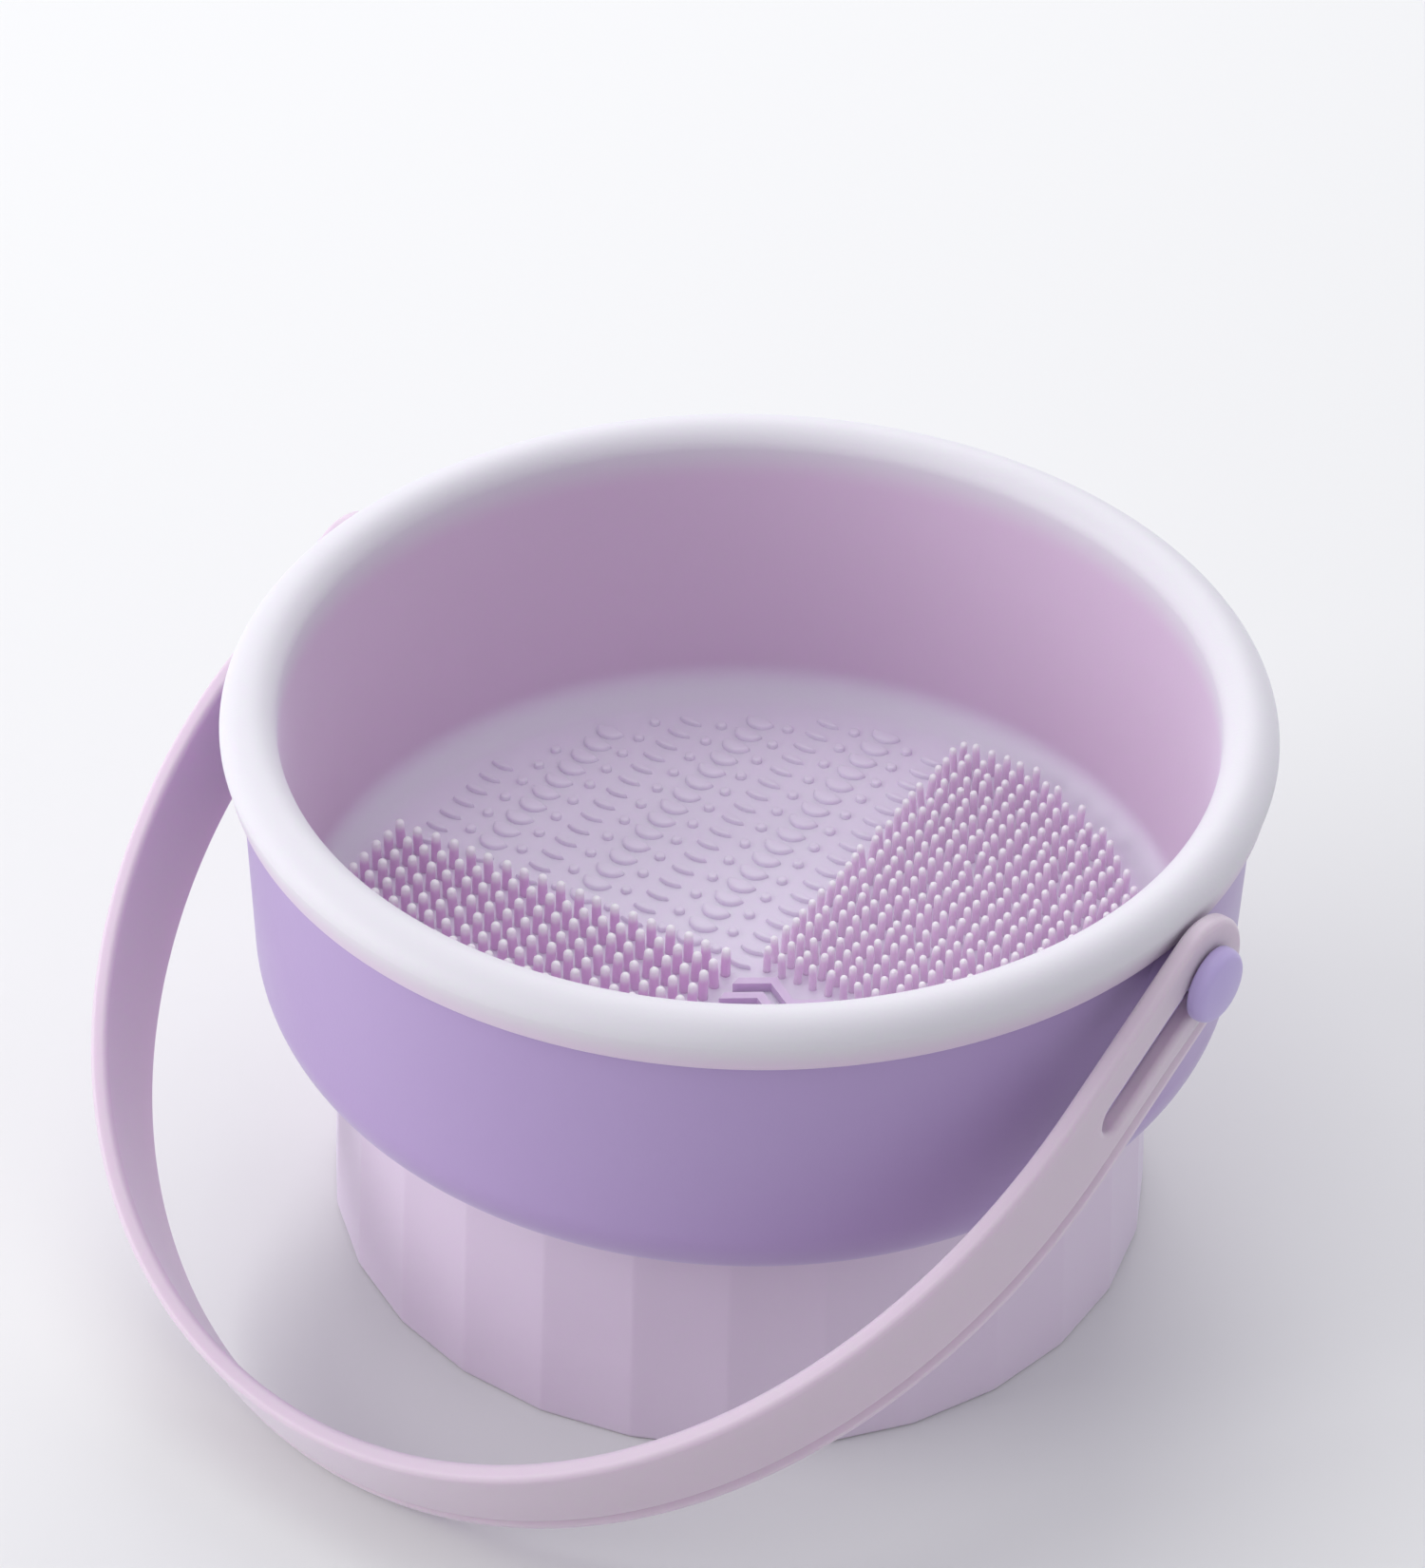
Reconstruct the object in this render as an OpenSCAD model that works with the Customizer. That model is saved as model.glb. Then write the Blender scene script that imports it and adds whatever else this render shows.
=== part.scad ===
// Silicone makeup-brush cleaning bowl with a strap handle and a faceted stand.
// Origin at the centre of the stand's foot, +Z up, the two studs on the X axis, handle hanging towards -Y.

/* [Stand] */
// Corner radius of the stand at the table
stand_r = 62; // [58:0.5:64]
// Corner radius at the height of the stand's top edge
stand_top_r = 60; // [59:0.5:62]
// Number of flat facets around the stand
stand_facets = 28; // [24:1:40]
// Turn of the facets about Z
stand_turn = 10.5; // [0:0.5:12.5]
// Thickness of the stand's floor
stand_floor = 2.5; // [1.5:0.5:4]
// Inner radius of the stand above its ledge
stand_bore_r = 57.3; // [56.8:0.1:57.5]
// Height of the ledge that carries the bowl
ledge_z = 26; // [20:0.5:28]
// Width of the ledge
ledge_w = 2.8; // [2:0.1:4]

/* [Bowl shell] */
// Outer radius of the shell under the rim
shell_r = 72.3; // [72:0.1:72.6]
// Outer radius of the shell where its side meets the bottom curve
shell_low_r = 71.6; // [71.4:0.1:72]
// Wall thickness of the shell
shell_wall = 1.8; // [1.5:0.1:1.9]
// Height of the shell's top edge
shell_top_z = 81.4; // [81:0.1:81.4]
// Height where the side turns into the bottom curve
shell_turn_z = 50; // [49:0.5:52]

/* [Liner] */
// Outer radius of the rolled rim
rim_r = 75; // [74.6:0.1:75]
// Inner radius of the rolled rim
rim_in_r = 67; // [66.6:0.1:67.4]
// Height of the top of the rim
rim_z = 89; // [88:0.5:92]
// Height of the washing floor
floor_z = 41; // [40.5:0.1:41.5]
// Thickness of the washing floor
floor_t = 2.6; // [2:0.1:2.7]
// Fillet between floor and wall
floor_fillet = 5; // [5:0.5:7]

/* [Washing textures] */
// Height of the coarse bristles
coarse_h = 5; // [3:0.5:7]
// Diameter of a coarse bristle
coarse_d = 1.7; // [1.2:0.1:2]
// Spacing of the coarse bristles
coarse_pitch = 3.2; // [3:0.1:4]
// Height of the fine bristles
fine_h = 4.6; // [3:0.1:6]
// Diameter of a fine bristle
fine_d = 1.35; // [0.8:0.05:1.5]
// Spacing of the fine bristles
fine_pitch = 2.6; // [2.4:0.05:3.2]
// Height of the raised leaves, dots and crescents
relief_h = 0.8; // [0.6:0.1:1.5]
// Height of the zigzag ridges
ridge_h = 1.6; // [1:0.1:3]
// Width of a zigzag ridge
ridge_w = 1.4; // [1:0.1:2]

/* [Studs] */
// Height of the studs that carry the handle
stud_z = 76.4; // [76.4:0.1:76.6]
// Diameter of a stud's shaft
stud_d = 4.6; // [4.2:0.1:5]
// Diameter of a stud's head
stud_head_d = 10.9; // [10.4:0.1:13]
// Thickness of a stud's head
stud_head_t = 3.2; // [2:0.1:3.5]

/* [Handle] */
// Width of the strap
strap_w = 18; // [16:0.5:19]
// Thickness of the strap
strap_t = 2.8; // [2.4:0.1:2.8]
// Drop of the strap below the stud axis, measured along its plane
strap_reach = 112.5; // [111:0.1:112.5]
// Angle of the strap's plane below the horizontal
strap_hang = 27.1; // [27:0.1:27.1]
// Sag of the strap's middle out of its plane
strap_sag = 18.5; // [14:0.1:18.5]
// Outward bulge of the strap's two sides
strap_bulge = 1; // [0:0.1:3]
// Sideways lean of the strap's middle
strap_lean = -4.5; // [-6:0.5:6]
// Length of the slot that lets the strap be shifted on the studs
slot_len = 25.5; // [20:0.5:26]
// Width of the slot
slot_w = 5.2; // [5.1:0.1:6]

/* [Hidden] */
$fn = 96;
// Clearances: liner in shell, bowl over stand, stud in its hole, stud head over strap
liner_gap = 0.1;
seat_gap = 0.3;
stud_fit = 0.05;
head_gap = 0.3;
far = 200;
// Corner arc and bottom arc of the shell's outer profile
corner_r = 12;
corner_x = shell_low_r - corner_r;
corner_end = -50;
bottom_r = 55;
bottom_x = corner_x + (corner_r - bottom_r) * cos(corner_end);
bottom_z = shell_turn_z + (corner_r - bottom_r) * sin(corner_end);
// The stand before its top is cut to the bowl, the ring under the bowl, and the bosses about the studs
stand_blank_h = 38;
foot_ring_h = 10;
boss_r = 5;
boss_root_x = 68;
// The four textures share one grid, turned about the bowl's axis; each fills one quarter of it
grid_turn = 7;
field_r = rim_in_r - 0.7 - floor_fillet;
coarse_first = [0.4, -5.95];
fine_first = [5.1, -1.95];
// Handle layout
strap_mid_x = rim_r + 0.3 + strap_t / 2;
leg_len = slot_len + 1;
strap_steps = 60;
// Largest value of cos(t) * sin(t) ^ 2, so that strap_bulge is in millimetres
side_peak = 0.385;
boss_x = rim_r;
head_x = strap_mid_x + strap_t / 2 + head_gap;
flange_x = shell_r - shell_wall - 0.3;
flange_t = 1;
flange_r = 4.5;

function arc(cx, cy, r, from, to, steps) =
    [for (i = [0 : steps]) let (a = from + (to - from) * i / steps) [cx + r * cos(a), cy + r * sin(a)]];

// Quarter or so of an ellipse with half-axes rx and ry
function oval(cx, cy, rx, ry, from, to, steps) =
    [for (i = [0 : steps]) let (a = from + (to - from) * i / steps) [cx + rx * cos(a), cy + ry * sin(a)]];

// Outer profile of the shell grown by g, from the lid plane down to the middle of the bottom
function shell_profile(g, top) = concat(
    [[0, top], [shell_r + g, top], [shell_r + g, shell_top_z - 0.1]],
    arc(corner_x, shell_turn_z, corner_r + g, 0, corner_end, 10),
    arc(bottom_x, bottom_z, bottom_r + g, corner_end - 4, -90, 8),
    [[0, bottom_z - bottom_r - g]]);

module shell_form(g, top) {
    rotate_extrude() polygon(shell_profile(g, top));
}

module tube(r_out, r_in, z0, z1) {
    rotate_extrude() translate([r_in, z0]) square([r_out - r_in, z1 - z0]);
}

// A cylinder lying along X from x0 to x1 at the studs' height
module stud_bar(r, x0, x1) {
    translate([x0, 0, stud_z]) rotate([0, 90, 0]) cylinder(h = x1 - x0, r = r);
}

module both_sides() {
    children();
    mirror([1, 0, 0]) children();
}

module stand_blank() {
    outline = [for (i = [0 : stand_facets - 1]) let (a = stand_turn + i * 360 / stand_facets) [cos(a), sin(a)]];
    linear_extrude(height = stand_blank_h, scale = stand_top_r / stand_r) polygon(stand_r * outline);
}

module stand() {
    color([0.84, 0.79, 0.83]) difference() {
        stand_blank();
        translate([0, 0, ledge_z]) cylinder(h = far, r = stand_bore_r);
        translate([0, 0, stand_floor]) cylinder(h = far, r = stand_bore_r - ledge_w);
        shell_form(seat_gap, far);
    }
}

module bowl_shell() {
    color([0.65, 0.57, 0.77]) difference() {
        union() {
            shell_form(0, shell_top_z);
            tube(stand_bore_r - seat_gap, stand_bore_r - ledge_w - 1, ledge_z, ledge_z + foot_ring_h);
            both_sides() stud_bar(boss_r, boss_root_x, boss_x);
        }
        shell_form(-shell_wall, far);
        both_sides() stud_bar(stud_d / 2 + stud_fit, 60, far);
    }
}

// Half section of the liner: underside, rolled rim, inner wall and washing floor
function liner_section() =
    let (g = -shell_wall - liner_gap,
        under_z = floor_z - floor_t,
        under_a = -90 + acos((bottom_z - under_z) / (bottom_r + g)),
        wall_r = rim_in_r - 0.7,
        bead = rim_z - 3.3,
        bead_low = shell_top_z + 0.1)
    concat(
        [[0, under_z]],
        arc(bottom_x, bottom_z, bottom_r + g, under_a, corner_end - 2, 3),
        arc(corner_x, shell_turn_z, corner_r + g, corner_end, 0, 10),
        [[shell_r + g, bead_low], [rim_r - 1.5, bead_low], [rim_r - 0.7, bead_low + 0.8]],
        oval(rim_r - 4, bead, 4, 3.3, 0, 180, 20),
        arc(wall_r - floor_fillet, floor_z + floor_fillet, floor_fillet, 0, -90, 9),
        [[0, floor_z]]);

module liner() {
    color([0.88, 0.86, 0.91]) difference() {
        rotate_extrude() polygon(liner_section());
        both_sides() stud_bar(flange_r + 0.5, flange_x - flange_t - 0.4, 74);
    }
}

// Pins on a square grid from the first one outwards, as far as the edge of the flat floor
module pin_field(first, dir, pitch, d, h) {
    count = ceil(field_r / pitch);
    rotate([0, 0, grid_turn]) for (i = [0 : count], j = [0 : count]) {
        p = first + pitch * [dir[0] * i, dir[1] * j];
        if (norm(p) <= field_r - d / 2) {
            translate([p[0], p[1], floor_z]) cylinder(h = h, d = d);
        }
    }
}

module coarse_bristles() {
    color([0.80, 0.68, 0.82]) pin_field(coarse_first, [-1, -1], coarse_pitch, coarse_d, coarse_h);
}

module fine_bristles() {
    color([0.84, 0.73, 0.86]) pin_field(fine_first, [1, 1], fine_pitch, fine_d, fine_h);
}

// Relief columns run along the grid's Y; kind k of a column is 0 leaves, 1 dots, 2 crescents
relief_columns = [0, 1, 2, 1];
relief_step = 4.68;
relief_first = [-55.1, -3.05, -1.9, -1.95];
relief_pitch = [3.65, 4.8, 3.7];
relief_column_count = 13;
relief_row_count = 17;
relief_edge = 2.6;
// Length and width of a leaf, diameter of a dot
leaf_len = 4;
leaf_w = 1.2;
dot_d = 1.7;
// A crescent is what two round discs share: its belly and its flatter back
belly_d = 5;
belly_y = 1.1;
back_d = 12;
back_y = -4.8;

module relief_field(k) {
    rotate([0, 0, grid_turn]) for (column = [0 : relief_column_count - 1], i = [0 : relief_row_count - 1]) {
        p = [relief_first[0] + column * relief_step, relief_first[k + 1] + i * relief_pitch[k]];
        if (relief_columns[column % 4] == k && norm(p) <= field_r - relief_edge) {
            translate([p[0], p[1], floor_z]) children();
        }
    }
}

// A pointed oval along X: the overlap of two round discs
module leaf(len, w, h) {
    r = (len * len + w * w) / (4 * w);
    intersection() {
        translate([0, r - w / 2, 0]) cylinder(h = h, r = r);
        translate([0, w / 2 - r, 0]) cylinder(h = h, r = r);
    }
}

module relief_leaves() {
    color([0.78, 0.74, 0.84]) relief_field(0) leaf(leaf_len, leaf_w, relief_h);
}

module relief_dots() {
    color([0.78, 0.74, 0.84]) relief_field(1) cylinder(h = relief_h, d = dot_d);
}

module relief_crescents() {
    color([0.78, 0.74, 0.84]) relief_field(2) intersection() {
        translate([0, belly_y, 0]) cylinder(h = relief_h, d = belly_d);
        translate([0, back_y, 0]) cylinder(h = relief_h, d = back_d);
    }
}

// Zigzag ridges side by side: each starts beside the coarse bristles and runs out to the edge of the floor
ridge_first = [3.4, -8.1];
ridge_run = 4.7;
ridge_rise = 3.1;
ridge_pitch = 3.95;
ridge_count = 12;
ridge_turns = 13;

module zigzag_ridge() {
    half = ridge_w / 2 / cos(atan(ridge_rise / ridge_run));
    path = [for (i = [0 : ridge_turns]) ridge_first + [i * ridge_run, (i % 2) * ridge_rise]];
    above = [for (i = [0 : ridge_turns]) path[i] + [0, half]];
    below = [for (i = [ridge_turns : -1 : 0]) path[i] - [0, half]];
    polygon(concat(above, below));
}

module zigzag_ridges() {
    color([0.72, 0.62, 0.78]) rotate([0, 0, grid_turn]) translate([0, 0, floor_z]) intersection() {
        cylinder(h = ridge_h, r = field_r);
        for (i = [0 : ridge_count - 1]) {
            translate([0, -i * ridge_pitch, 0]) linear_extrude(height = ridge_h) zigzag_ridge();
        }
    }
}

// Head, shaft and inner flange of a snap-in stud, turned about X
module stud() {
    head_r = stud_head_d / 2;
    tip = head_x + stud_head_t;
    shaft_r = stud_d / 2;
    translate([0, 0, stud_z]) rotate([0, 90, 0]) rotate_extrude() polygon(concat(
        [[0, flange_x - flange_t], [flange_r, flange_x - flange_t], [flange_r, flange_x]],
        [[shaft_r, flange_x], [shaft_r, head_x], [head_r - 0.4, head_x], [head_r, head_x + 0.4]],
        arc(head_r - 1, tip - 1, 1, 0, 80, 4),
        [[0, tip]]));
}

module stud_left() {
    color([0.63, 0.56, 0.75]) mirror([1, 0, 0]) stud();
}

module stud_right() {
    color([0.63, 0.56, 0.75]) stud();
}

// Middle line of the strap's bow in its own plane: x across, -y away from the studs, z out of the plane
function bow(t) =
    let (reach = strap_reach - leg_len,
        w = pow(max(sin(t), 0), 1.5),
        side = cos(t) * pow(sin(t), 2) / side_peak)
    [strap_mid_x * cos(t) + strap_bulge * side + strap_lean * w, -leg_len - reach * sin(t), -strap_sag * w];

// Four corners of the strap's section at t, from the tangent there
function bow_section(t) =
    let (e = 0.5,
        a = bow(max(t - e, 0)),
        b = bow(min(t + e, 180)),
        dir = (t == 0 || t == 180) ? [0, t == 0 ? -1 : 1, 0] : (b - a) / norm(b - a),
        up = [0, 0, 1] - dir * dir[2],
        wide = up / norm(up) * strap_w / 2,
        thick = cross(dir, wide) / norm(wide) * strap_t / 2)
    [bow(t) + wide + thick, bow(t) + wide - thick, bow(t) - wide - thick, bow(t) - wide + thick];

module strap_bow() {
    points = [for (i = [0 : strap_steps]) each bow_section(180 * i / strap_steps)];
    last = 4 * strap_steps;
    sides = [for (i = [0 : strap_steps - 1], k = [0 : 3]) let (m = 4 * i, n = (k + 1) % 4)
        each [[m + k, m + n, m + 4 + n], [m + k, m + 4 + n, m + 4 + k]]];
    polyhedron(points, concat(sides, [[3, 2, 1, 0], [last, last + 1, last + 2, last + 3]]));
}

// Flat leg with a round end about the stud and a slot along it
module strap_leg() {
    slot_r = slot_w / 2;
    slot_x0 = stud_d / 2 + seat_gap - slot_r;
    translate([strap_mid_x - strap_t / 2, 0, 0]) rotate([90, 0, 90]) linear_extrude(height = strap_t) difference() {
        union() {
            circle(d = strap_w);
            translate([-leg_len - 0.5, -strap_w / 2]) square([leg_len + 0.5, strap_w]);
        }
        translate([slot_x0, 0]) circle(r = slot_r);
        translate([-slot_len + slot_r + slot_x0, 0]) circle(r = slot_r);
        translate([-slot_len + slot_r + slot_x0, -slot_r]) square([slot_len - slot_r, slot_w]);
    }
}

module strap_handle() {
    color([0.80, 0.73, 0.81]) translate([0, 0, stud_z]) rotate([strap_hang, 0, 0]) {
        both_sides() strap_leg();
        strap_bow();
    }
}

stand();
bowl_shell();
liner();
coarse_bristles();
fine_bristles();
relief_leaves();
relief_dots();
relief_crescents();
zigzag_ridges();
stud_left();
stud_right();
strap_handle();
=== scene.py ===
"""Brush cleaner: a silicone-lined washing bowl on a faceted stand, with a strap handle on two studs."""
import math
import random

import bmesh
import bpy
from mathutils import Matrix, Vector


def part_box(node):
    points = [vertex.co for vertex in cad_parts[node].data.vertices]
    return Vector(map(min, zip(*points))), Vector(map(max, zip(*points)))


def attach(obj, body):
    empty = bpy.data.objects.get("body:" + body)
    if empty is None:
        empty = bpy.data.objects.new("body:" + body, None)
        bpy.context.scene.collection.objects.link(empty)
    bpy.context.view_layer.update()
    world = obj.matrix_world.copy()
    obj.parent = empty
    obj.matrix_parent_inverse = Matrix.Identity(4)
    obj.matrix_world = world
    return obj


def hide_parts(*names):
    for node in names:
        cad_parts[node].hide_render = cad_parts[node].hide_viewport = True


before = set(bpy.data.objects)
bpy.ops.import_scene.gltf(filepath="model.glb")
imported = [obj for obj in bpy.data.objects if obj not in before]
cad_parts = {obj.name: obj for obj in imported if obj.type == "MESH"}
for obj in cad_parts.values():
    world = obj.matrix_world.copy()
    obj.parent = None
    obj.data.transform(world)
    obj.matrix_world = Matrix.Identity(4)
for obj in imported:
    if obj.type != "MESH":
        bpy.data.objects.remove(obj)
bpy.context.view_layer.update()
MM = 0.001


# ---------------------------------------------------------------- sizes in millimetres


def node_box(name):
    """Lowest and highest corner of a CAD node in millimetres."""
    low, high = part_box(name)
    return low / MM, high / MM


LINER_LOW, LINER_HIGH = node_box("liner")
SHELL_LOW = node_box("bowl_shell")[0]
STUD_LOW, STUD_HIGH = node_box("stud_right")

RIM_R = LINER_HIGH.x
RIM_Z = LINER_HIGH.z
RIM_IN_R = RIM_R - 8
BEAD_HALF_W = (RIM_R - RIM_IN_R) / 2
BEAD_HALF_H = 3.3
FLOOR_Z = node_box("coarse_bristles")[0].z
FLOOR_T = FLOOR_Z - LINER_LOW.z
FLOOR_FILLET = 5
WALL_R = RIM_IN_R - 0.7

SHELL_R = 72.3
SHELL_LOW_R = 71.6
SHELL_WALL = 1.8
SHELL_TURN_Z = 50
CORNER_R = 12
CORNER_END = math.radians(-50)
BOTTOM_R = 55
BOTTOM_X = SHELL_LOW_R - CORNER_R + (CORNER_R - BOTTOM_R) * math.cos(CORNER_END)
BOTTOM_Z = SHELL_TURN_Z + (CORNER_R - BOTTOM_R) * math.sin(CORNER_END)
SHELL_TOP_Z = 81.4
LINER_GAP = 0.1
SEAT_GAP = 0.3
FOOT_RING_LOW = SHELL_LOW.z
FOOT_RING_R = 57
FOOT_RING_IN_R = 53.5
FOOT_RING_H = 7.5
FOOT_RING_CHAMFER = 0.4

STAND_R = 62
STAND_TAPER = 2 / 38
STAND_FACETS = 28
STAND_TURN = math.radians(10.5)
FACET_BLEND = 0.35
STAND_BORE_R = 57.3
STAND_LEDGE_R = 54.5
STAND_LEDGE_Z = SHELL_LOW.z
STAND_FLOOR = 2.5

STUD_Z = (STUD_LOW.z + STUD_HIGH.z) / 2
STUD_TIP = STUD_HIGH.x
STUD_HEAD_R = (STUD_HIGH.z - STUD_LOW.z) / 2
STUD_HEAD_T = 3.2
STUD_SHAFT_R = 2.3
STUD_FIT = 0.05
FLANGE_X = SHELL_R - SHELL_WALL - 0.3
FLANGE_T = 1
FLANGE_R = 4.5
FLANGE_CHAMFER = 0.2
BOSS_R = 5
BOSS_ROOT_X = SHELL_R - 1.5
BOSS_CHAMFER = 0.5

STRAP_W = 18
STRAP_T = 2.8
STRAP_MID_X = RIM_R + 0.3 + STRAP_T / 2
STRAP_REACH = 112.5
STRAP_HANG = math.radians(27.1)
STRAP_SAG = 18.5
STRAP_BULGE = 1
SIDE_PEAK = 0.385
STRAP_LEAN = -4.5
SLOT_LEN = 25.5
SLOT_R = 2.6
SLOT_OUT = STUD_SHAFT_R + SEAT_GAP - SLOT_R
LEG_LEN = SLOT_LEN + 1

GROOVE_Y = -6.5
GROOVE_DEPTH = 0.9
GROOVE_HALF_W = 1.1
GROOVE_FLAT = 0.15
GROOVE_STOP = 4
GROOVE_RUN_OUT = 6
GROOVE_EDGES = (-GROOVE_HALF_W, -GROOVE_FLAT, GROOVE_FLAT, GROOVE_HALF_W)
GROOVE_CUTS = [GROOVE_Y + edge for edge in GROOVE_EDGES] + [0.0, 6.5]

GRID_TURN = math.radians(7)
PIN_SLIM = 0.9
LEAF_LEN = 4
LEAF_W = 1.2
DOT_R = 0.85
BELLY_R = 2.5
BELLY_Y = 1.1
BACK_R = 6.0
BACK_Y = -4.8


# ---------------------------------------------------------------- mesh helpers


def piece(name, verts, faces, body, material, nodes=(), sharp=35):
    """A smooth-shaded piece, given in millimetres, that rides on a CAD body and stands for its nodes."""
    mesh = bpy.data.meshes.new(name)
    mesh.from_pydata([Vector(v) * MM for v in verts], [], faces)
    return finish_piece(name, mesh, body, material, nodes, sharp)


def finish_piece(name, mesh, body, material, nodes=(), sharp=35):
    bm = bmesh.new()
    bm.from_mesh(mesh)
    bmesh.ops.recalc_face_normals(bm, faces=bm.faces)
    bm.to_mesh(mesh)
    bm.free()
    mesh.shade_smooth()
    mesh.set_sharp_from_angle(angle=math.radians(sharp))
    obj = bpy.data.objects.new(name, mesh)
    bpy.context.scene.collection.objects.link(obj)
    mesh.materials.append(material)
    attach(obj, body)
    if nodes:
        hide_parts(*nodes)
    return obj


def arc(cx, cy, rx, ry, start, end, steps):
    """Points of an elliptical arc, angles in degrees."""
    angles = [math.radians(start + (end - start) * i / steps) for i in range(steps + 1)]
    return [(cx + rx * math.cos(a), cy + ry * math.sin(a)) for a in angles]


def lathe(profile, segments, close=True, place=None):
    """Vertices and faces of (radius, height) points turned about Z; radius 0 becomes one point."""
    verts, rings = [], []
    for radius, height in profile:
        if radius < 1e-6:
            rings.append([len(verts)] * segments)
            verts.append((0, 0, height))
            continue
        rings.append(list(range(len(verts), len(verts) + segments)))
        for k in range(segments):
            a = 2 * math.pi * k / segments
            verts.append((radius * math.cos(a), radius * math.sin(a), height))
    pairs = list(zip(rings, rings[1:]))
    if close:
        pairs.append((rings[-1], rings[0]))
    faces = []
    for low, high in pairs:
        for k in range(segments):
            n = (k + 1) % segments
            corners = [low[k], low[n], high[n], high[k]]
            corners = [c for i, c in enumerate(corners) if c not in corners[:i]]
            if len(corners) > 2:
                faces.append(corners)
    if place:
        verts = [place @ Vector(v) for v in verts]
    return verts, faces


def along_x(side):
    """Turns a lathe's Z axis to +X or -X, at the studs' height."""
    return Matrix.Translation((0, 0, STUD_Z)) @ Matrix.Rotation(math.radians(90 * side), 4, "Y")


def islands(node):
    """The separate solids of a CAD node, each as its lowest and highest corner in millimetres."""
    bm = bmesh.new()
    bm.from_mesh(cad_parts[node].data)
    bmesh.ops.remove_doubles(bm, verts=bm.verts, dist=1e-6)
    seen, boxes = set(), []
    for start in bm.verts:
        if start in seen:
            continue
        seen.add(start)
        stack, low, high = [start], Vector(start.co), Vector(start.co)
        while stack:
            vert = stack.pop()
            low = Vector(map(min, low, vert.co))
            high = Vector(map(max, high, vert.co))
            for edge in vert.link_edges:
                other = edge.other_vert(vert)
                if other not in seen:
                    seen.add(other)
                    stack.append(other)
        boxes.append((low / MM, high / MM))
    bm.free()
    return boxes


class Heap:
    """Collects many small lathed or pillowed shapes into one mesh."""

    def __init__(self):
        self.verts, self.faces = [], []

    def add(self, verts, faces):
        first = len(self.verts)
        self.verts += verts
        self.faces += [[first + i for i in face] for face in faces]


# ---------------------------------------------------------------- materials


def moulded(name, colour, deep, roughness, soft=0.0, grain=0.15, painted_light_bands=()):
    """Moulded silicone or plastic: slow tone drift, a fine grain, uneven gloss and light scattering inside.

    The last argument lists, from the bottom up, colours of painted light and shade and the two heights
    between which each takes over.
    """
    material = bpy.data.materials.new(name)
    material.use_nodes = True
    nodes, links = material.node_tree.nodes, material.node_tree.links
    shader = nodes["Principled BSDF"]
    where = nodes.new("ShaderNodeTexCoord")

    drift = nodes.new("ShaderNodeTexNoise")
    drift.inputs["Scale"].default_value = 22
    drift.inputs["Detail"].default_value = 3
    links.new(where.outputs["Object"], drift.inputs["Vector"])
    tone = nodes.new("ShaderNodeMix")
    tone.data_type = "RGBA"
    tone.inputs["A"].default_value = (*colour, 1)
    tone.inputs["B"].default_value = (*deep, 1)
    links.new(drift.outputs["Fac"], tone.inputs["Factor"])

    cloud = nodes.new("ShaderNodeTexNoise")
    cloud.inputs["Scale"].default_value = 160
    cloud.inputs["Detail"].default_value = 4
    links.new(where.outputs["Object"], cloud.inputs["Vector"])
    gloss = nodes.new("ShaderNodeMapRange")
    gloss.inputs["To Min"].default_value = roughness - 0.06
    gloss.inputs["To Max"].default_value = roughness + 0.06
    links.new(cloud.outputs["Fac"], gloss.inputs["Value"])
    links.new(gloss.outputs["Result"], shader.inputs["Roughness"])

    pores = nodes.new("ShaderNodeTexNoise")
    pores.inputs["Scale"].default_value = 1800
    pores.inputs["Detail"].default_value = 2
    links.new(where.outputs["Object"], pores.inputs["Vector"])
    bump = nodes.new("ShaderNodeBump")
    bump.inputs["Strength"].default_value = grain
    bump.inputs["Distance"].default_value = 0.00012
    links.new(pores.outputs["Fac"], bump.inputs["Height"])
    links.new(bump.outputs["Normal"], shader.inputs["Normal"])

    height = nodes.new("ShaderNodeSeparateXYZ")
    links.new(where.outputs["Object"], height.inputs["Vector"])
    below = tone.outputs["Result"]
    # Painted light and shade by height: each band's colour takes over between its two heights.
    for painted_colour, low, high in painted_light_bands:
        share = nodes.new("ShaderNodeMapRange")
        share.interpolation_type = "SMOOTHSTEP"
        share.inputs["From Min"].default_value = low * MM
        share.inputs["From Max"].default_value = high * MM
        links.new(height.outputs["Z"], share.inputs["Value"])
        blend = nodes.new("ShaderNodeMix")
        blend.data_type = "RGBA"
        blend.inputs["B"].default_value = (*painted_colour, 1)
        links.new(share.outputs["Result"], blend.inputs["Factor"])
        links.new(below, blend.inputs["A"])
        below = blend.outputs["Result"]
    links.new(below, shader.inputs["Base Color"])

    shader.inputs["Subsurface Weight"].default_value = soft
    shader.inputs["Subsurface Radius"].default_value = (1.0, 0.63, 1.0)
    shader.inputs["Subsurface Scale"].default_value = 0.004
    shader.inputs["IOR"].default_value = 1.43
    shader.inputs["Sheen Weight"].default_value = 0.35
    shader.inputs["Sheen Roughness"].default_value = 0.35
    shader.inputs["Sheen Tint"].default_value = (0.90, 0.93, 1.0, 1)
    return material


FLOOR_TONE = ((0.800, 0.725, 0.860), (0.770, 0.695, 0.835))
# Painted shade: the liner's walls, from just above the floor, take a darker, pinker colour than the floor,
# standing in for the shade inside the bowl while the floor takes the light from above.
WALL_PAINTED_SHADE = ((0.665, 0.515, 0.665), FLOOR_Z + 1.0, FLOOR_Z + 6.0)
# Painted light: the top of the wall and the rolled rim turn a paler grey-white, standing in for the light
# that falls on the rim.
RIM_PAINTED_LIGHT = ((0.690, 0.672, 0.712), RIM_Z - 9, RIM_Z - 2)
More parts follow.
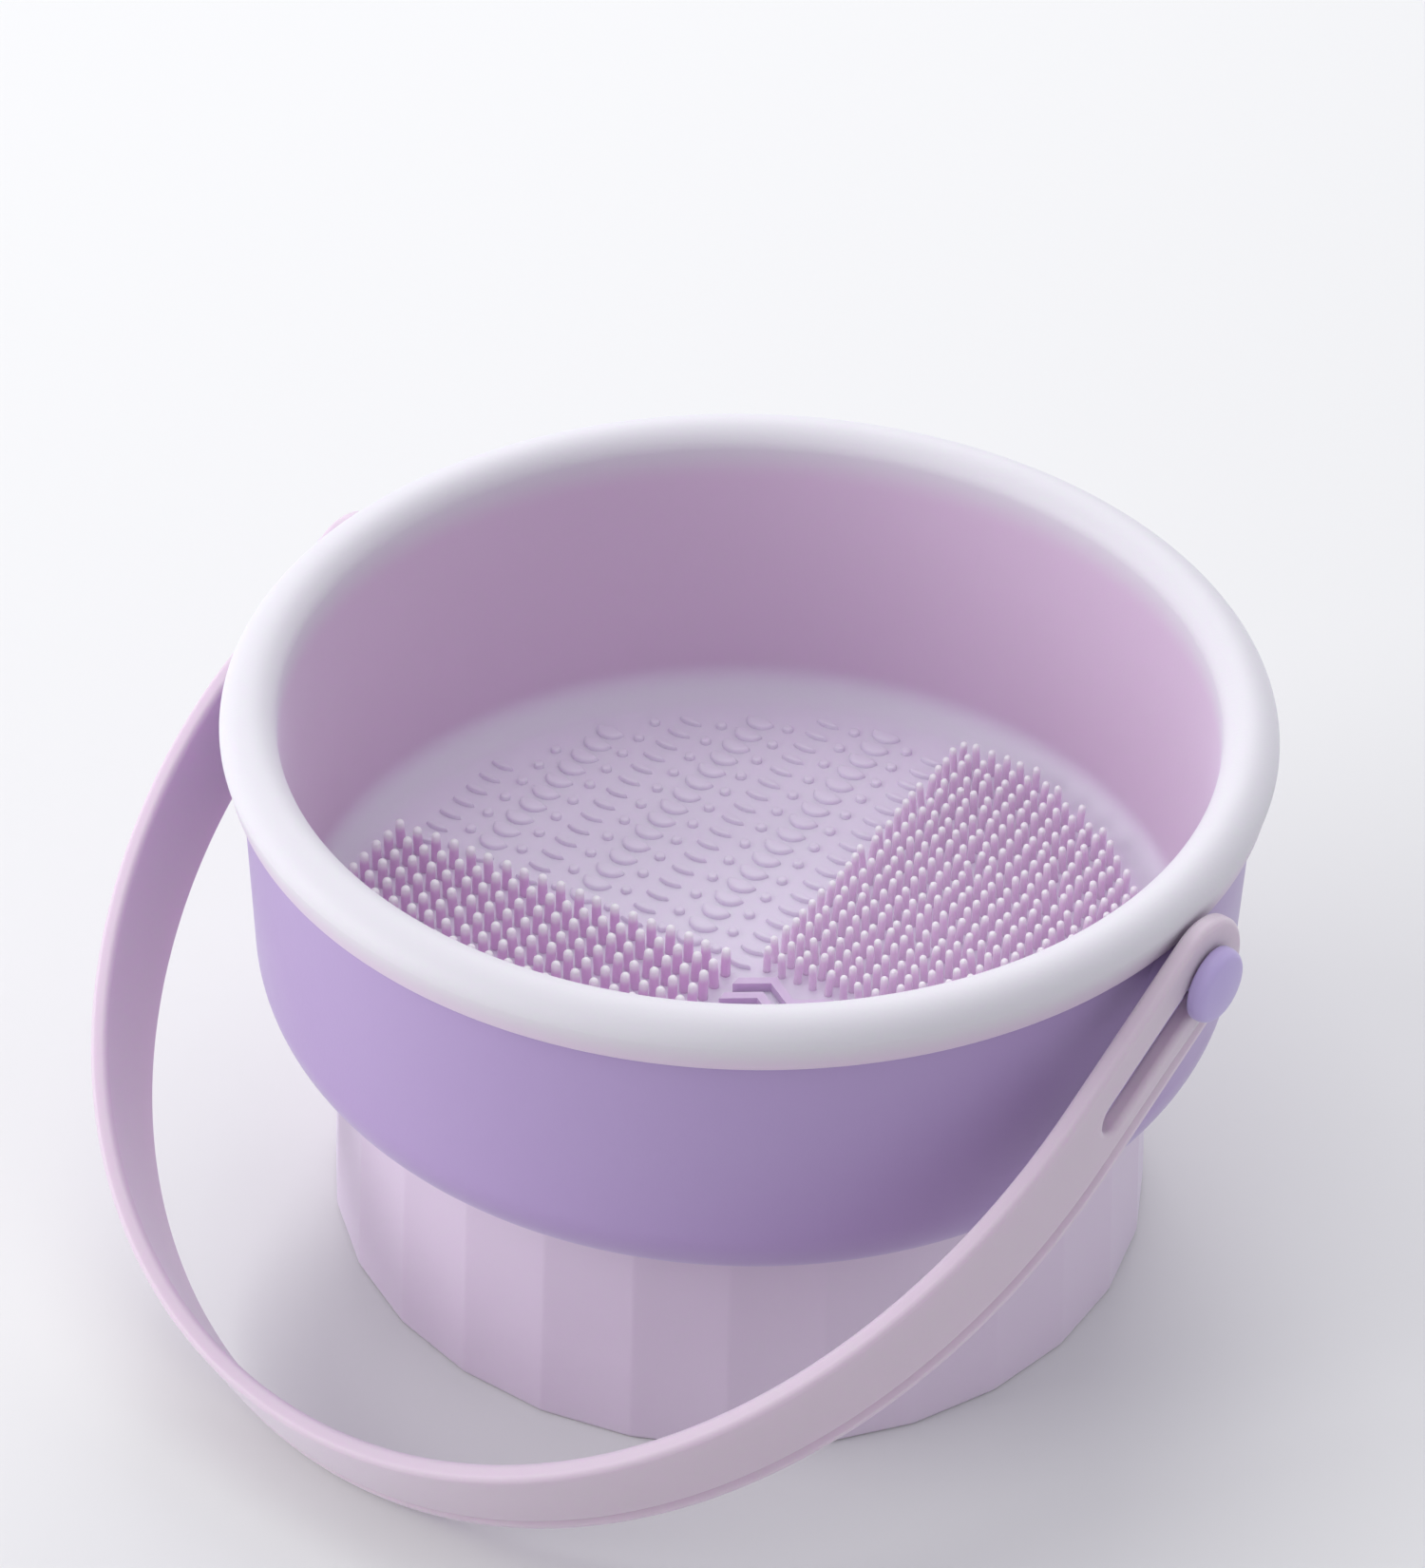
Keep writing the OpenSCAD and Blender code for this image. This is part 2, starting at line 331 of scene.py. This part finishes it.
# Painted highlight: the bristle tips turn near-white, standing in for the light falling on them from above.
TIP_PAINTED_HIGHLIGHT = ((0.980, 0.965, 0.985), FLOOR_Z + 2.9, FLOOR_Z + 4.5)
LINER_SILICONE = moulded("liner_silicone", *FLOOR_TONE, 0.55, 0.3, painted_light_bands=(WALL_PAINTED_SHADE, RIM_PAINTED_LIGHT))
FLOOR_SILICONE = moulded("floor_silicone", *FLOOR_TONE, 0.5, 0.2, grain=0.05)
COARSE_TONE = ((0.800, 0.560, 0.800), (0.770, 0.530, 0.770))
FINE_TONE = ((0.850, 0.660, 0.850), (0.825, 0.635, 0.825))
COARSE_SILICONE = moulded("coarse_bristle_silicone", *COARSE_TONE, 0.42, 0.3, 0.05, (TIP_PAINTED_HIGHLIGHT,))
FINE_SILICONE = moulded("fine_bristle_silicone", *FINE_TONE, 0.42, 0.3, 0.05, (TIP_PAINTED_HIGHLIGHT,))
RIDGE_SILICONE = moulded("ridge_silicone", (0.640, 0.500, 0.700), (0.610, 0.470, 0.680), 0.45, 0.3, 0.05)
STRAP_SILICONE = moulded("strap_silicone", (0.655, 0.555, 0.630), (0.625, 0.525, 0.610), 0.44, 0.5)
SHELL_PLASTIC = moulded("shell_plastic", (0.444, 0.329, 0.580), (0.424, 0.309, 0.560), 0.42, 0.12)
STUD_PLASTIC = moulded("stud_plastic", (0.510, 0.420, 0.720), (0.490, 0.400, 0.700), 0.45, 0.12)
STAND_PLASTIC = moulded("stand_plastic", (0.725, 0.612, 0.748), (0.702, 0.590, 0.728), 0.42, 0.2)


# ---------------------------------------------------------------- bowl shell


def shell_curve(grow):
    """The shell's outer profile, grown by grow, from the side's top down to the middle of the bottom."""
    corner_x = SHELL_LOW_R - CORNER_R
    narrowing = SHELL_R - SHELL_LOW_R
    side_h = SHELL_TOP_Z - SHELL_TURN_Z
    return (
        [(SHELL_R + grow, SHELL_TOP_Z)]
        + [(SHELL_R + grow - narrowing * k / 8, SHELL_TOP_Z - side_h * k / 8) for k in range(1, 8)]
        + arc(corner_x, SHELL_TURN_Z, CORNER_R + grow, CORNER_R + grow, 0, -50, 24)
        + arc(BOTTOM_X, BOTTOM_Z, BOTTOM_R + grow, BOTTOM_R + grow, -52, -90, 20)
        + [(0, BOTTOM_Z - BOTTOM_R - grow)]
    )


def make_shell():
    outside = shell_curve(0)
    inside = shell_curve(-SHELL_WALL)
    verts, faces = lathe(outside + inside[::-1], 256)
    heap = Heap()
    heap.add(verts, faces)
    ring_top = FOOT_RING_LOW + FOOT_RING_H
    ring = [
        (FOOT_RING_R, ring_top),
        (FOOT_RING_R, FOOT_RING_LOW + FOOT_RING_CHAMFER),
        (FOOT_RING_R - FOOT_RING_CHAMFER, FOOT_RING_LOW),
        (FOOT_RING_IN_R + FOOT_RING_CHAMFER, FOOT_RING_LOW),
        (FOOT_RING_IN_R, FOOT_RING_LOW + FOOT_RING_CHAMFER),
        (FOOT_RING_IN_R, ring_top),
    ]
    heap.add(*lathe(ring, 192))
    for side in (1, -1):
        boss = [
            (STUD_SHAFT_R + STUD_FIT, BOSS_ROOT_X),
            (BOSS_R, BOSS_ROOT_X),
            (BOSS_R, RIM_R - BOSS_CHAMFER),
            (BOSS_R - BOSS_CHAMFER, RIM_R),
            (STUD_SHAFT_R + STUD_FIT, RIM_R),
        ]
        heap.add(*lathe(boss, 48, place=along_x(side)))
    nodes = ["bowl_shell"]
    return piece("purple_bowl_shell", heap.verts, heap.faces, "bowl", SHELL_PLASTIC, nodes)


# ---------------------------------------------------------------- liner with its rolled rim


def make_liner():
    inset = -SHELL_WALL - LINER_GAP
    under_z = FLOOR_Z - FLOOR_T
    side = shell_curve(inset)
    outside = [p for p in side if p[1] > under_z and p[0] > 50]
    bead_z = RIM_Z - BEAD_HALF_H
    bead_x = RIM_R - BEAD_HALF_W
    low = SHELL_TOP_Z + 0.1
    profile = (
        [(0, under_z), (outside[-1][0] - 2, under_z)]
        + outside[::-1]
        + [(SHELL_R + inset, low), (RIM_R - 1.7, low)]
        + arc(RIM_R - 1.7, low + 1, 1, 1, -70, -10, 5)
        + [(RIM_R - 0.45, low + 2.4)]
        + arc(bead_x, bead_z, BEAD_HALF_W, BEAD_HALF_H, 0, 180, 36)
        + [
            (RIM_IN_R - 0.7 * k / 6, bead_z - (bead_z - FLOOR_Z - FLOOR_FILLET) * k / 6)
            for k in range(1, 6)
        ]
        + arc(WALL_R - FLOOR_FILLET, FLOOR_Z + FLOOR_FILLET, FLOOR_FILLET, FLOOR_FILLET, 0, -90, 20)
        + [((WALL_R - FLOOR_FILLET) * k / 8, FLOOR_Z) for k in range(7, 0, -1)]
        + [(0, FLOOR_Z)]
    )
    verts, faces = lathe(profile, 288)
    return piece("silicone_liner", verts, faces, "bowl", LINER_SILICONE, ["liner"], sharp=50)


# ---------------------------------------------------------------- bristles and relief


def pin(centre, height, radius, sides, lean):
    """A bristle with a faint taper and a round tip, leaning a little off upright."""
    tip = radius * 0.92
    profile = [(radius, 0), (radius * 0.97, height * 0.5)]
    profile += [(tip * math.cos(a), height - tip + tip * math.sin(a)) for a in (0, 0.3, 0.6, 0.9, 1.2)]
    profile += [(0, height)]
    verts, faces = lathe(profile, sides, close=False)
    return [lean @ Vector(v) + centre for v in verts], faces


def make_bristles(node, name, sides, silicone, spread):
    """A bristle on each pin of the CAD field; spread is how far they lean at random, in degrees."""
    heap = Heap()
    wander = random.Random(12)
    for low, high in islands(node):
        tilt = [math.radians(wander.uniform(-spread, spread)) for _ in range(2)]
        lean = Matrix.Rotation(tilt[0], 3, "X") @ Matrix.Rotation(tilt[1], 3, "Y")
        centre = Vector(((low.x + high.x) / 2, (low.y + high.y) / 2, low.z - 0.05))
        heap.add(*pin(centre, high.z - centre.z, PIN_SLIM * (high.x - low.x) / 2, sides, lean))
    return piece(name, heap.verts, heap.faces, "bowl", silicone, [node], sharp=60)


def pillow(outline, height, centre, turn):
    """A soft bump: the outline shrinks towards its middle as it rises along a quarter ellipse."""
    spin = Matrix.Rotation(turn, 4, "Z")
    mid = sum((Vector((x, y, 0)) for x, y in outline), Vector()) / len(outline)
    verts, faces, count = [], [], len(outline)
    levels = 7
    for k in range(levels):
        a = math.pi / 2 * k / levels
        scale, rise = math.cos(a) ** 0.3, height * math.sin(a)
        for x, y in outline:
            verts.append(centre + spin @ mid.lerp(Vector((x, y, 0)), scale) + Vector((0, 0, rise)))
    verts.append(centre + spin @ mid + Vector((0, 0, height)))
    for k in range(levels - 1):
        for i in range(count):
            n = (i + 1) % count
            faces.append([k * count + i, k * count + n, (k + 1) * count + n, (k + 1) * count + i])
    top = (levels - 1) * count
    faces += [[top + i, top + (i + 1) % count, levels * count] for i in range(count)]
    return verts, faces


def lens_outline(length, width, steps=10):
    """A pointed oval: two equal arcs that meet at its tips."""
    radius = (length * length + width * width) / (4 * width)
    half = math.degrees(math.asin(length / 2 / radius))
    upper = arc(0, width / 2 - radius, radius, radius, 90 - half, 90 + half, steps)
    return upper[:-1] + [(-x, -y) for x, y in upper[:-1]]


def crescent_outline(steps=12):
    """A half-moon about its box's middle: a round belly towards -Y and a nearly flat back."""
    meet_y = (BELLY_R**2 - BACK_R**2 + BACK_Y**2 - BELLY_Y**2) / (2 * (BACK_Y - BELLY_Y))
    belly_a = math.degrees(math.asin((meet_y - BELLY_Y) / BELLY_R))
    back_a = math.degrees(math.asin((meet_y - BACK_Y) / BACK_R))
    belly = arc(0, BELLY_Y, BELLY_R, BELLY_R, 180 - belly_a, 360 + belly_a, steps * 2)
    back = arc(0, BACK_Y, BACK_R, BACK_R, back_a, 180 - back_a, steps)
    middle_y = (BELLY_Y - BELLY_R + BACK_Y + BACK_R) / 2
    return [(x, y - middle_y) for x, y in belly[:-1] + back[:-1]]


def make_relief(node, name, outline):
    heap = Heap()
    for low, high in islands(node):
        middle = Vector(((low.x + high.x) / 2, (low.y + high.y) / 2, low.z - 0.04))
        heap.add(*pillow(outline, high.z - low.z, middle, GRID_TURN))
    return piece(name, heap.verts, heap.faces, "bowl", FLOOR_SILICONE, [node], sharp=75)


def dress_ridges():
    """The zigzag ridges keep their CAD shape, with their edges rounded."""
    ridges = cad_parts["zigzag_ridges"]
    ridges.data.materials.clear()
    ridges.data.materials.append(RIDGE_SILICONE)
    rounded = ridges.modifiers.new("rounded_edges", "BEVEL")
    rounded.width = 0.3 * MM
    rounded.segments = 3
    rounded.limit_method = "ANGLE"
    rounded.harden_normals = True


# ---------------------------------------------------------------- stand


def facet_radius(angle, corner_radius, blend=FACET_BLEND):
    """Radius of the many-sided outline at an angle, with its corners rounded over blend degrees."""
    pitch = 2 * math.pi / STAND_FACETS
    flat = corner_radius * math.cos(pitch / 2)
    off = (angle - STAND_TURN) % pitch
    off = min(off, pitch - off)
    reach = math.radians(blend)
    rounded = math.hypot(off, reach * 0.5) if off < reach else off
    return flat / math.cos(max(pitch / 2 - rounded, 0))


def make_stand():
    """Rings of points: the outline up the outside, the top edge that follows the bowl, and the bore."""
    pitch = 2 * math.pi / STAND_FACETS
    blend = math.radians(FACET_BLEND)
    across = [0.0] + [blend + (pitch - 2 * blend) * k / 6 for k in range(7)]
    angles = [STAND_TURN + pitch * i + a for i in range(STAND_FACETS) for a in across]
    steps = len(angles)

    def top_z(radius):
        return BOTTOM_Z - math.sqrt((BOTTOM_R + SEAT_GAP) ** 2 - (radius - BOTTOM_X) ** 2)

    def outline(z, inset=0.0):
        return [facet_radius(a, STAND_R - STAND_TAPER * z) - inset for a in angles]

    rings = []
    rings.append([(a, r, 0.0) for a, r in zip(angles, outline(0, 0.8))])
    rings.append([(a, r, 0.25) for a, r in zip(angles, outline(0.25, 0.25))])
    rings.append([(a, r, 0.8) for a, r in zip(angles, outline(0.8))])
    for z in (8, 16, 24, 31):
        rings.append([(a, r, z) for a, r in zip(angles, outline(z))])
    rings.append([(a, r, top_z(r) - 0.7) for a, r in zip(angles, outline(34.4))])
    rings.append([(a, r, top_z(r) - 0.25) for a, r in zip(angles, outline(34.8, 0.22))])
    rings.append([(a, r, top_z(r)) for a, r in zip(angles, outline(35, 0.7))])
    for radius, z in (
        (STAND_BORE_R + 0.4, None),
        (STAND_BORE_R, top_z(STAND_BORE_R) - 0.4),
        (STAND_BORE_R, STAND_LEDGE_Z),
        (STAND_LEDGE_R, STAND_LEDGE_Z),
        (STAND_LEDGE_R, STAND_FLOOR + 1),
        (STAND_LEDGE_R - 1, STAND_FLOOR),
    ):
        rings.append([(a, radius, top_z(radius) if z is None else z) for a in angles])
    verts = [(r * math.cos(a), r * math.sin(a), z) for ring in rings for a, r, z in ring]
    faces = []
    for i in range(len(rings) - 1):
        for k in range(steps):
            n = (k + 1) % steps
            faces.append([i * steps + k, i * steps + n, (i + 1) * steps + n, (i + 1) * steps + k])
    foot, floor = len(verts), len(verts) + 1
    verts += [(0, 0, 0), (0, 0, STAND_FLOOR)]
    last = (len(rings) - 1) * steps
    faces += [[foot, (k + 1) % steps, k] for k in range(steps)]
    faces += [[floor, last + k, last + (k + 1) % steps] for k in range(steps)]
    stand = piece("faceted_stand", verts, faces, "stand", STAND_PLASTIC, ["stand"], sharp=40)
    even = stand.modifiers.new("even_shading", "WEIGHTED_NORMAL")
    even.keep_sharp = True
    return stand


# ---------------------------------------------------------------- studs


def make_stud(side, node):
    head_x = STUD_TIP - STUD_HEAD_T
    flange_back = FLANGE_X - FLANGE_T
    profile = (
        [(0, flange_back), (FLANGE_R - FLANGE_CHAMFER, flange_back)]
        + [(FLANGE_R, flange_back + FLANGE_CHAMFER), (FLANGE_R, FLANGE_X)]
        + [(STUD_SHAFT_R, FLANGE_X), (STUD_SHAFT_R, head_x)]
        + [(STUD_HEAD_R - 0.4, head_x)]
        + arc(STUD_HEAD_R - 0.5, head_x + 0.5, 0.5, 0.5, -80, 0, 6)
        + arc(STUD_HEAD_R - 1.5, STUD_TIP - 2.2, 1.5, 1.75, 0, 70, 10)
        + [(STUD_HEAD_R * k, STUD_TIP - 0.8 * k * k) for k in (0.7, 0.5, 0.3, 0.15, 0)]
    )
    verts, faces = lathe(profile, 96, close=False, place=along_x(side))
    return piece(node + "_button", verts, faces, "studs", STUD_PLASTIC, [node])


# ---------------------------------------------------------------- strap handle


def bow(t):
    """Middle line of the strap's bow in its own plane; t runs from 0 at the right leg to pi at the left."""
    w = max(math.sin(t), 0) ** 1.5
    reach = STRAP_REACH - LEG_LEN
    side = STRAP_BULGE * math.cos(t) * math.sin(t) ** 2 / SIDE_PEAK
    across = STRAP_MID_X * math.cos(t) + side + STRAP_LEAN * w
    return Vector((across, -LEG_LEN - reach * math.sin(t), -STRAP_SAG * w))


class StrapPath:
    """Places a point of the flat strap (length along it, across it, through it) on the bent strap."""

    def __init__(self, samples=1440):
        self.points = [bow(math.pi * i / samples) for i in range(samples + 1)]
        self.lengths = [0.0]
        for a, b in zip(self.points, self.points[1:]):
            self.lengths.append(self.lengths[-1] + (b - a).length)
        self.bow_length = self.lengths[-1]
        self.half = LEG_LEN + self.bow_length / 2

    def frame(self, along):
        """Point, direction, width and thickness directions at a length measured from the strap's middle."""
        run = along + self.bow_length / 2
        if run <= 0:
            point, direction = self.points[0] + Vector((0, -run, 0)), Vector((0, -1, 0))
        elif run >= self.bow_length:
            point = self.points[-1] + Vector((0, run - self.bow_length, 0))
            direction = Vector((0, 1, 0))
        else:
            low, high = 0, len(self.lengths) - 1
            while high - low > 1:
                mid = (low + high) // 2
                if self.lengths[mid] <= run:
                    low = mid
                else:
                    high = mid
            share = (run - self.lengths[low]) / (self.lengths[high] - self.lengths[low])
            point = self.points[low].lerp(self.points[high], share)
            a = self.points[max(low - 2, 0)]
            b = self.points[min(high + 2, len(self.points) - 1)]
            direction = (b - a).normalized()
        wide = (Vector((0, 0, 1)) - direction * direction.z).normalized()
        thick = direction.cross(wide)
        return point, wide, thick

    def place(self, flat):
        point, wide, thick = self.frame(flat.x)
        local = point + wide * flat.y + thick * flat.z
        spin = Matrix.Rotation(STRAP_HANG, 3, "X")
        return spin @ local + Vector((0, 0, STUD_Z))


def flat_strap(path):
    """The strap laid flat: a long band with round ends and two slots, its edges rounded, in millimetres."""
    rounding = 0.9
    curve = bpy.data.curves.new("flat_strap", "CURVE")
    curve.dimensions = "2D"
    curve.fill_mode = "BOTH"
    curve.extrude = STRAP_T / 2 - rounding
    curve.bevel_depth = rounding
    curve.bevel_resolution = 5
    curve.offset = -rounding
    half_w = STRAP_W / 2
    outlines = [
        arc(path.half, 0, half_w, half_w, -90, 90, 40) + arc(-path.half, 0, half_w, half_w, 90, 270, 40)
    ]
    for side in (1, -1):
        near = path.half + SLOT_OUT
        deep = path.half + SLOT_OUT - (SLOT_LEN - SLOT_R)
        slot = arc(near, 0, SLOT_R, SLOT_R, -90, 90, 24) + arc(deep, 0, SLOT_R, SLOT_R, 90, 270, 24)
        outlines.append([(x * side, y) for x, y in slot])
    for outline in outlines:
        spline = curve.splines.new("POLY")
        spline.points.add(len(outline) - 1)
        for point, (x, y) in zip(spline.points, outline):
            point.co = (x, y, 0, 1)
        spline.use_cyclic_u = True
    holder = bpy.data.objects.new("flat_strap", curve)
    bpy.context.scene.collection.objects.link(holder)
    bpy.context.view_layer.update()
    mesh = bpy.data.meshes.new_from_object(holder.evaluated_get(bpy.context.evaluated_depsgraph_get()))
    bpy.data.objects.remove(holder)
    return mesh


def cut_across(bm, point, normal):
    geometry = bm.verts[:] + bm.edges[:] + bm.faces[:]
    bmesh.ops.bisect_plane(bm, geom=geometry, dist=1e-5, plane_co=point, plane_no=normal)


def groove(y):
    """How deep the moulded groove is at y across the strap, from 0 to 1."""
    return min(max((GROOVE_HALF_W - abs(y - GROOVE_Y)) / (GROOVE_HALF_W - GROOVE_FLAT), 0.0), 1.0)


def make_strap():
    path = StrapPath()
    mesh = flat_strap(path)
    bm = bmesh.new()
    bm.from_mesh(mesh)
    bmesh.ops.remove_doubles(bm, verts=bm.verts, dist=1e-3)
    for y in GROOVE_CUTS:
        cut_across(bm, (0, y, 0), (0, 1, 0))
    steps = 190
    for i in range(steps + 1):
        cut_across(bm, (path.bow_length * (i / steps - 0.5), 0, 0), (1, 0, 0))
    for vert in bm.verts:
        flat = vert.co
        fade = min(max((path.half - GROOVE_STOP - abs(flat.x)) / GROOVE_RUN_OUT, 0), 1)
        if flat.z < 0.05 - STRAP_T / 2:
            flat.z += GROOVE_DEPTH * groove(flat.y) * fade
        vert.co = path.place(flat) * MM
    bm.to_mesh(mesh)
    bm.free()
    mesh.name = "strap"
    strap = finish_piece("strap", mesh, "handle", STRAP_SILICONE, ["strap_handle"], sharp=60)
    even = strap.modifiers.new("even_shading", "WEIGHTED_NORMAL")
    even.keep_sharp = True
    return strap


# ---------------------------------------------------------------- table, light and camera


def make_table():
    bpy.ops.mesh.primitive_plane_add(size=6, location=(0, 0, 0))
    table = bpy.context.object
    table.name = "table"
    material = bpy.data.materials.new("white_table")
    material.use_nodes = True
    nodes, links = material.node_tree.nodes, material.node_tree.links
    shader = nodes["Principled BSDF"]
    noise = nodes.new("ShaderNodeTexNoise")
    noise.inputs["Scale"].default_value = 3
    tint = nodes.new("ShaderNodeMix")
    tint.data_type = "RGBA"
    tint.inputs["A"].default_value = (0.75, 0.75, 0.745, 1)
    tint.inputs["B"].default_value = (0.77, 0.77, 0.765, 1)
    links.new(noise.outputs["Fac"], tint.inputs["Factor"])
    links.new(tint.outputs["Result"], shader.inputs["Base Color"])
    shader.inputs["Roughness"].default_value = 0.6
    shader.inputs["Specular IOR Level"].default_value = 0.25
    table.data.materials.append(material)


def soft_light(name, azimuth, elevation, distance, size, power, colour=(1, 1, 1)):
    """A square soft box aimed at the bowl, from an azimuth measured from +X and a height above the table."""
    a, e = math.radians(azimuth), math.radians(elevation)
    place = Vector((math.cos(a) * math.cos(e), math.sin(a) * math.cos(e), math.sin(e))) * distance
    data = bpy.data.lights.new(name, "AREA")
    data.shape = "SQUARE"
    data.size = size
    data.energy = power
    data.color = colour
    lamp = bpy.data.objects.new(name, data)
    lamp.location = place
    lamp.rotation_euler = (Vector((0, 0, 0.05)) - place).to_track_quat("-Z", "Y").to_euler()
    bpy.context.scene.collection.objects.link(lamp)


def make_light():
    world = bpy.data.worlds.new("studio")
    world.use_nodes = True
    world.node_tree.nodes["Background"].inputs["Color"].default_value = (0.93, 0.94, 1.0, 1)
    world.node_tree.nodes["Background"].inputs["Strength"].default_value = 0.66
    bpy.context.scene.world = world
    soft_light("ceiling", 150, 78, 1.3, 0.8, 3.1)
    soft_light("left_box", 222, 24, 1.3, 0.9, 9.6)
    soft_light("rear_window", 127, 35, 1.5, 0.8, 6.2)
    soft_light("side_window", 62, 24, 1.4, 0.4, 0.8)
    bpy.context.scene.view_settings.view_transform = "Standard"


def make_camera():
    distance = 0.69058
    azimuth, elevation = math.radians(-53), math.radians(41.935)
    yaw, pitch, roll = math.radians(0.453), math.radians(4.763), math.radians(-1.419)
    level = Vector((math.cos(azimuth), math.sin(azimuth), 0))
    out = level * math.cos(elevation) + Vector((0, 0, math.sin(elevation)))
    ahead = -out
    right = ahead.cross(Vector((0, 0, 1))).normalized()
    up = right.cross(ahead)
    turn = Matrix.Rotation(yaw, 3, up)
    ahead, right = turn @ ahead, turn @ right
    turn = Matrix.Rotation(pitch, 3, right)
    ahead, up = turn @ ahead, turn @ up
    turn = Matrix.Rotation(roll, 3, ahead)
    right, up = turn @ right, turn @ up
    data = bpy.data.cameras.new("camera")
    data.sensor_width = 36
    data.lens = 102.92
    camera = bpy.data.objects.new("camera", data)
    facing = Matrix((right, up, -ahead)).transposed().to_4x4()
    camera.matrix_world = Matrix.Translation(out * distance) @ facing
    bpy.context.scene.collection.objects.link(camera)
    bpy.context.scene.camera = camera


# ---------------------------------------------------------------- build

make_camera()
make_light()
make_table()
make_stand()
make_shell()
make_liner()
make_bristles("coarse_bristles", "coarse_bristle_field", 14, COARSE_SILICONE, 3)
make_bristles("fine_bristles", "fine_bristle_field", 12, FINE_SILICONE, 6)
make_relief("relief_leaves", "raised_leaves", lens_outline(LEAF_LEN, LEAF_W))
make_relief("relief_dots", "raised_dots", arc(0, 0, DOT_R, DOT_R, 0, 345, 23))
make_relief("relief_crescents", "raised_crescents", crescent_outline())
dress_ridges()
make_stud(1, "stud_right")
make_stud(-1, "stud_left")
make_strap()
